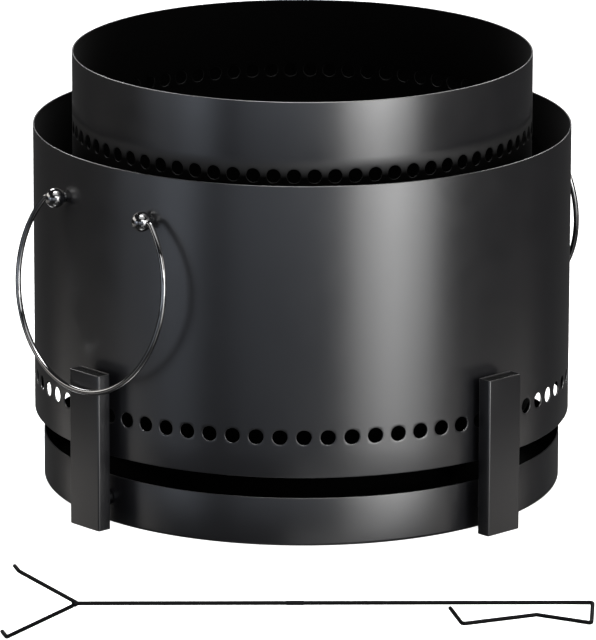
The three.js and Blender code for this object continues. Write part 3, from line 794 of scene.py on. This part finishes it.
def bar(path, radius, sides=20, edge=BAR_END_EDGE):
    """A round bar along a path, with rounded ends: centre + reach * (normal cos a + across sin a)."""
    path = np.asarray(path, float)
    along = unit(np.gradient(path, axis=0))
    turn = np.linspace(0, QUARTER, 4)
    back = np.concatenate([[0], edge * (1 - np.cos(turn))])[:, None]
    reach = np.concatenate([[0], radius - edge + edge * np.sin(turn)])
    centres = np.concatenate([path[0] + back * along[0], path[1:-1], path[-1] - back[::-1] * along[-1]])
    reach = np.concatenate([reach, np.full(len(path) - 2, radius), reach[::-1]])
    ends = np.ones((len(back), 1))
    directions = np.concatenate([ends * along[0], along[1:-1], ends * along[-1]])
    normals = carried(directions)
    across = np.cross(directions, normals)
    angle = (np.arange(sides) * FULL_TURN / sides)[None, :, None]
    ring = normals[:, None] * np.cos(angle) + across[:, None] * np.sin(angle)
    return centres[:, None] + reach[:, None, None] * ring, quads(len(centres), sides)


def arc(x, y, radius, start, stop, steps):
    """Points (x + r cos a, y + r sin a) for a from start to stop."""
    turn = np.linspace(start, stop, steps + 1)
    return np.stack([x + radius * np.cos(turn), y + radius * np.sin(turn)], axis=-1)


# Handles

NECK_GAP = 0.3 * MM


def ring_path():
    """Pin, small bend and big arc in the ring's own plane, x along the hinge and y down, then mirrored."""
    bend_x = BALL_SIDE + BALL_RADIUS + PIN_FREE
    drop = RING_BEND + math.sqrt((RING_RADIUS - RING_BEND) ** 2 - bend_x ** 2)
    start = -math.atan2(drop - RING_BEND, bend_x)
    pin = np.linspace((BALL_SIDE + PIN_TIP_DEPTH, 0), (bend_x, 0), 6)[:-1]
    half = np.concatenate([
        pin, arc(bend_x, RING_BEND, RING_BEND, -QUARTER, start, 8)[:-1],
        arc(0, drop, RING_RADIUS, start, QUARTER, 64),
    ])
    x, y = np.concatenate([half, half[-2::-1] * (-1, 1)]).T
    return np.stack([0 * x, x, -y], axis=-1)


def ball_knob(distance):
    """Neck and ball turned about the line out from the pit's axis: r = sqrt(R^2 - h^2) on the ball."""
    neck_end = distance - math.sqrt(BALL_RADIUS ** 2 - NECK_RADIUS ** 2)
    join = math.asin(NECK_RADIUS / BALL_RADIUS)
    turn = np.linspace(math.pi - join, 0, 40)[1:]
    ball = np.stack([BALL_RADIUS * np.sin(turn), distance + BALL_RADIUS * np.cos(turn)], axis=-1)
    foot = SHELL_RADIUS + NECK_GAP
    neck = [(0, foot), (NECK_RADIUS, foot), (NECK_RADIUS, (foot + neck_end) / 2), (NECK_RADIUS, neck_end)]
    return turned(np.concatenate([neck, ball]), 64)


SCREW_HEAD_RADIUS = 5 * MM
SCREW_HEAD = 3 * MM
SCREW_RADIUS = 2.5 * MM
SCREW_RIM_SHARE = 0.2
SCREW_DOME_START = math.radians(32)
# The flat seat stands clear of the round wall
SEAT_CLEAR = 0.55 * MM
SCREW_SEAT = SHELL_RADIUS - SHEET - SEAT_CLEAR
SOCKET_CORNER = 2.3 * MM
SOCKET_DEPTH = 1.6 * MM


def button_screw(tip):
    """A domed head with a hexagon socket, and a shank out to the tip.

    The dome is (R sin a, seat - head * (rim + (1 - rim) cos a)), where rim is the share of its straight rim.
    """
    socket_floor = SCREW_SEAT - SCREW_HEAD + SOCKET_DEPTH
    turn = np.linspace(SCREW_DOME_START, QUARTER, 8)
    dome_height = SCREW_SEAT - SCREW_HEAD * (SCREW_RIM_SHARE + (1 - SCREW_RIM_SHARE) * np.cos(turn))
    dome = np.stack([SCREW_HEAD_RADIUS * np.sin(turn), dome_height, 0 * turn], axis=-1)
    return fastener([
        (0, socket_floor, SOCKET_CORNER), (SOCKET_CORNER, socket_floor, SOCKET_CORNER),
        (SOCKET_CORNER, dome_height[0], SOCKET_CORNER), *dome, (SCREW_HEAD_RADIUS, SCREW_SEAT, 0),
        (SCREW_RADIUS, SCREW_SEAT, 0), (SCREW_RADIUS, tip, 0), (0, tip, 0),
    ])


def add_handles():
    """Each ring hangs from its hinge line with a lean, between two knobs that point out from the axis."""
    lean = Matrix.Rotation(-RING_LEAN, 4, "Y")
    ring = bar(ring_path(), WIRE_RADIUS, sides=24)
    distance = math.hypot(HINGE_REACH, BALL_SIDE)
    side_degrees = math.degrees(math.atan2(BALL_SIDE, HINGE_REACH))
    for number, degrees in ((1, 0), (2, 180)):
        place = about_z(degrees) @ Matrix.Translation((HINGE_REACH, 0, HINGE_HEIGHT)) @ lean
        add_piece(f"ring_handle_{number}", [moved(ring, place)], "handle_gloss", body=f"handle_{number}",
                  node=f"handle_ring_{number}")
        for letter, side in (("a", -1), ("b", 1)):
            out = outward_from_axis(degrees + side * side_degrees, HINGE_HEIGHT)
            add_piece(f"ball_knob_{number}{letter}", [moved(ball_knob(distance), out)], "handle_gloss",
                      node=f"handle_ball_{number}{letter}")
            screw = button_screw(distance - BALL_RADIUS / 2)
            add_piece(f"button_screw_{number}{letter}", [moved(screw, out)], "fastener_steel",
                      node=f"ball_screw_{number}{letter}")


# Poker

def weld_blob(centre, radius):
    """A small ball, rippled as a weld bead is: r = radius * (1 + 0.08 sin 5a sin 4b)."""
    a = np.linspace(0, FULL_TURN, 24, endpoint=False)[None, :]
    b = np.linspace(0, math.pi, 15)[:, None]
    r = 1 + 0.08 * np.sin(5 * a) * np.sin(4 * b)
    ball = np.stack([r * np.sin(b) * np.cos(a), r * np.sin(b) * np.sin(a), r * np.cos(b) + 0 * a], axis=-1)
    return np.asarray(centre) + ball * radius, quads(15, 24)


def add_poker():
    """The rod climbs to the fork, because the lower tine's tip and the hand loop's end touch the floor."""
    length, below = LOWER_TINE
    climb = math.atan2(-length * math.sin(below), ROD_LENGTH + length * math.cos(below))
    distance, azimuth = POKER_CORNER
    place = (Matrix.Translation((distance * math.cos(azimuth), distance * math.sin(azimuth), ROD_RADIUS))
             @ Matrix.Rotation(POKER_HEADING, 4, "Z"))

    def on_rod(along, up=0.0, across=0.0):
        """The point so far along the climbing rod, above it and across it."""
        return np.array([along * math.cos(climb) - up * math.sin(climb), across,
                         along * math.sin(climb) + up * math.cos(climb)])

    def tine(tine_length, angle):
        """The corner of a tine that leaves the rod's end at an angle."""
        return on_rod(ROD_LENGTH + tine_length * math.cos(angle), tine_length * math.sin(angle))

    def add_poker_piece(name, part, node=None):
        """A painted piece of the poker, taken from the poker's own axes to its place."""
        add_piece(name, [moved(part, place)], "poker_paint", body="poker", node=node)

    (flat_along, flat_across), *rest = LOOP_CORNERS
    sleeve_start = COUPLING_ALONG - COUPLING_LENGTH / 2
    sleeve_stop = COUPLING_ALONG + COUPLING_LENGTH / 2
    half_fork = (UPPER_TINE[1] - LOWER_TINE[1]) / 2
    setback = FORK_BEND / math.sin(half_fork) - FORK_BEND
    loop = [on_rod(along, across=across) for along, across in rest]
    near = rounded([on_rod(sleeve_start + SCREWED_IN), on_rod(0), (flat_along, flat_across, 0), *loop],
                   ROD_BEND, steps=8)
    add_poker_piece("poker_handle_rod", bar(near, ROD_RADIUS), "poker_rod")
    sleeve_line = np.linspace(on_rod(sleeve_start), on_rod(sleeve_stop), 4)
    screw_sleeve = bar(sleeve_line, COUPLING_RADIUS, edge=COUPLING_EDGE)
    add_poker_piece("poker_screw_sleeve", screw_sleeve, "poker_coupling")
    far = np.linspace(on_rod(sleeve_stop - SCREWED_IN), on_rod(ROD_LENGTH + setback - ROD_RADIUS), 4)
    add_poker_piece("poker_fork_rod", bar(far, ROD_RADIUS), "poker_front_rod")
    upper, lower = tine(*UPPER_TINE), tine(*LOWER_TINE)
    hook = TINE_HOOK * np.array([math.sin(HOOK_SPLAY), -math.cos(HOOK_SPLAY), 0])
    fork = rounded([upper + hook, upper, on_rod(ROD_LENGTH), lower, lower + hook], FORK_BEND, steps=8)
    add_poker_piece("poker_fork_bar", bar(fork, ROD_RADIUS), "poker_fork")
    add_poker_piece("fork_weld", weld_blob(on_rod(ROD_LENGTH + setback), FORK_BEAD_RADIUS))


# Seam welds, each between two air holes

SEAM_WIDTH = 3 * MM
SEAM_HEIGHT = 0.35 * MM
SEAM_SUNK = 0.1 * MM
SEAM_ROOT = 0.5 * MM
SEAM_RIPPLE = 2.2 * MM
SEAM_END = 2 * MM
DRUM_SEAM_AZIMUTH = 7.5
SHELL_SEAM_AZIMUTH = 50


def weld_seam(radius, low, high):
    """A bead up a wall: radius - sunk + height * (1 - u^2) * (1 + 0.25 sin(2 pi z / ripple)).

    u goes from -1 to 1 across the bead, and the bead's back lies inside the wall.
    """
    u = np.linspace(-1, 1, 7)[None, :]
    z = np.linspace(low, high, int((high - low) / SEAM_RIPPLE * 4))[:, None]
    proud = SEAM_HEIGHT * (1 - u ** 2) * (1 + 0.25 * np.sin(FULL_TURN * z / SEAM_RIPPLE)) - SEAM_SUNK
    angle = u * SEAM_WIDTH / 2 / radius
    front, back = (np.stack([r * np.cos(angle), r * np.sin(angle), z + 0 * u], axis=-1)
                   for r in (radius + proud, radius - SEAM_ROOT + 0 * z))
    loop = np.concatenate([front, back[:, ::-1]], axis=1)
    rows, columns = loop.shape[:2]
    across = np.arange(columns // 2 - 1)[:, None]
    cap = np.concatenate([across, across + 1, columns - 2 - across, columns - 1 - across], axis=1)
    caps = np.concatenate([cap, cap + (rows - 1) * columns])
    return loop, np.concatenate([quads(rows, columns), caps])


def add_seams():
    """One seam each on the drum, the shell and the base pan."""
    for name, slot, body, radius, low, high, azimuth in (
            ("drum_seam_low", "drum_paint", "drum", DRUM_RADIUS, DRUM_LOW, DRUM_HIGH, DRUM_SEAM_AZIMUTH),
            ("shell_seam", "shell_paint", "root", SHELL_RADIUS, SHELL_LOW, SHELL_HIGH, SHELL_SEAM_AZIMUTH),
            ("base_seam", "shell_paint", "root", BASE_RADIUS, BASE_LOW + SEAM_END, BASE_HIGH,
             SHELL_SEAM_AZIMUTH)):
        seam = weld_seam(radius, low + SEAM_END, high - SEAM_END)
        add_piece(name, [moved(seam, about_z(azimuth))], slot, body=body)


# Every piece, and the nuts, whose plain solids only take their finish

add_outer_shell()
add_burn_drum()
add_base_pan()
add_ash_pan()
add_fuel_grate()
add_legs()
add_leg_fasteners()
add_drum_brackets()
add_handles()
add_poker()
add_seams()

for node in frame["nodes"].values():
    if "nut" in node.name:
        node.data.materials.clear()
        node.data.materials.append(FINISHES["fastener_steel"])


# Stage: floor, background, lamps and camera

# The coat is so dark that its edges show what stands behind them, so little background is let into gloss
GLOSS_SHARE = 0.01
FLOOR_GLOW = 0.85
FLOOR_COLOUR = "#e6e6e6"
FLOOR_IN_GLOSS = "#222222"
FLOOR_HALF = 9
FLOOR_DROP = 0.3 * MM
WORLD_LEVEL = 0.05
COOL = "#e7f0ff"
WARM = "#fffaf5"


def shown_as_background(tree):
    """How far a ray sees the white background: 1 for the camera and through glass, a share in gloss."""
    path = add_node(tree, "ShaderNodeLightPath")
    direct = add_node(tree, "ShaderNodeMath", {
        0: path.outputs["Is Camera Ray"], 1: path.outputs["Is Transmission Ray"]}, operation="MAXIMUM")
    in_gloss = add_node(tree, "ShaderNodeMath", {
        0: path.outputs["Is Glossy Ray"], 1: GLOSS_SHARE}, operation="MULTIPLY")
    return add_node(tree, "ShaderNodeMath", {
        0: direct.outputs[0], 1: in_gloss.outputs[0]}, operation="MAXIMUM").outputs[0]


def studio_floor_sheet():
    """A pale satin sheet that also glows a little as background, so that it photographs white.

    In gloss it is dark, so that the edges of the dark coat stay dark.
    """
    material, tree = new_material("pale_floor")
    shown = shown_as_background(tree)
    add_surface(tree, {
        "Base Color": add_node(tree, "ShaderNodeMix", {
            0: shown, 6: linear(FLOOR_IN_GLOSS), 7: linear(FLOOR_COLOUR)}, data_type="RGBA").outputs[2],
        "Roughness": 0.17,
        "IOR": 2.0,
        "Emission Color": (1, 1, 1, 1),
        "Emission Strength": add_node(tree, "ShaderNodeMath", {
            0: shown, 1: FLOOR_GLOW}, operation="MULTIPLY").outputs[0],
    })
    return material


def add_floor():
    """A square sheet just under the pit's feet."""
    signs = ((-1, -1), (1, -1), (1, 1), (-1, 1))
    corners = [(x * FLOOR_HALF, y * FLOOR_HALF, -FLOOR_DROP) for x, y in signs]
    mesh = bpy.data.meshes.new("studio_floor")
    mesh.from_pydata(corners, [], [(0, 1, 2, 3)])
    mesh.materials.append(studio_floor_sheet())
    floor = bpy.data.objects.new("studio_floor", mesh)
    bpy.context.scene.collection.objects.link(floor)


def seen_from(azimuth, elevation, distance):
    """The point at an azimuth right of the camera's, an elevation and a distance from the origin."""
    turn = CAMERA_AZIMUTH + azimuth
    return Vector((math.sin(turn) * math.cos(elevation), -math.cos(turn) * math.cos(elevation),
                   math.sin(elevation))) * distance


def add_softbox(name, azimuth, height, distance, width, tall, watts, aim=0.2, spread=180,
                colour="#ffffff"):
    """A lamp width x tall at an azimuth from the camera's and a height, facing the axis at height aim."""
    lamp = bpy.data.lights.new(name, "AREA")
    lamp.shape = "RECTANGLE"
    lamp.size = width
    lamp.size_y = tall
    lamp.energy = watts
    lamp.spread = math.radians(spread)
    lamp.color = linear(colour)[:3]
    place = seen_from(math.radians(azimuth), 0, distance)
    place.z = height
    facing = (Vector((0, 0, aim)) - place).to_track_quat("-Z", "Y")
    softbox = bpy.data.objects.new(name, lamp)
    softbox.matrix_world = Matrix.Translation(place) @ facing.to_matrix().to_4x4()
    bpy.context.scene.collection.objects.link(softbox)


def add_world():
    """Pale behind the floor's far edge, where the camera is low, and an even faint light on the object."""
    world = bpy.data.worlds.new("studio")
    bpy.context.scene.world = world
    world.use_nodes = True
    tree = world.node_tree
    tree.nodes.clear()
    strength = add_node(tree, "ShaderNodeMapRange", {
        "Value": shown_as_background(tree), "To Min": WORLD_LEVEL, "To Max": 1.0})
    background = add_node(tree, "ShaderNodeBackground", {"Strength": strength.outputs[0]})
    add_node(tree, "ShaderNodeOutputWorld", {"Surface": background.outputs[0]})


def add_camera():
    """The photograph's camera: it looks at a point just left of the axis, rolled about its line of sight."""
    eye = seen_from(0, CAMERA_ELEVATION, CAMERA_DISTANCE) + Vector((0, 0, CAMERA_AIM_HEIGHT))
    right = Vector((math.cos(CAMERA_AZIMUTH), math.sin(CAMERA_AZIMUTH), 0))
    target = Vector((0, 0, CAMERA_AIM_HEIGHT)) - right * CAMERA_AIM_LEFT
    facing = (target - eye).to_track_quat("-Z", "Y").to_matrix().to_4x4()
    data = bpy.data.cameras.new("photo_camera")
    data.sensor_width = CAMERA_SENSOR
    data.lens = CAMERA_LENS
    camera = bpy.data.objects.new("photo_camera", data)
    camera.matrix_world = Matrix.Translation(eye) @ facing @ Matrix.Rotation(CAMERA_ROLL, 4, "Z")
    bpy.context.scene.collection.objects.link(camera)
    bpy.context.scene.camera = camera


bpy.context.scene.view_settings.view_transform = "Standard"
add_floor()
add_world()

# Softboxes: azimuth in degrees, height, distance from the axis, width and height of the face, and watts.
# The two strips draw the long streak on the walls, front_high the stripe on the ring's wire, and front_top
# and rim_top the lines on the rims. The others are the soft light of the room.
add_softbox("strip_core", 38, 1.22, 5.5, 0.92, 2.4, 122)
add_softbox("strip_edge", 38, 1.22, 5.5, 3.6, 2.4, 262)
add_softbox("front_high", 12, 1.5, 2.6, 1.5, 0.9, 32, aim=0.25)
add_softbox("front_fill", -8, 0.5, 3.5, 3.0, 0.9, 11, colour=COOL)
add_softbox("side_strip", -52, 0.5, 3.5, 0.9, 0.9, 4.5, colour=COOL)
add_softbox("side_fill", -60, 0.5, 3.5, 2.6, 0.9, 8, colour=COOL)
add_softbox("left_high", -96, 1.25, 3.0, 3.4, 1.0, 38, colour=WARM)
add_softbox("right_high", 84, 1.25, 3.0, 3.4, 1.0, 38, colour=WARM)
add_softbox("front_top", 5, 1.9, 1.0, 2.0, 1.0, 6, spread=100)
add_softbox("rim_top", 0, 2.1, 0.3, 1.2, 0.6, 6, aim=0.4, spread=40)
add_softbox("back_high", 180, 2.3, 2.4, 3.4, 1.0, 150, aim=0.25)
add_camera()
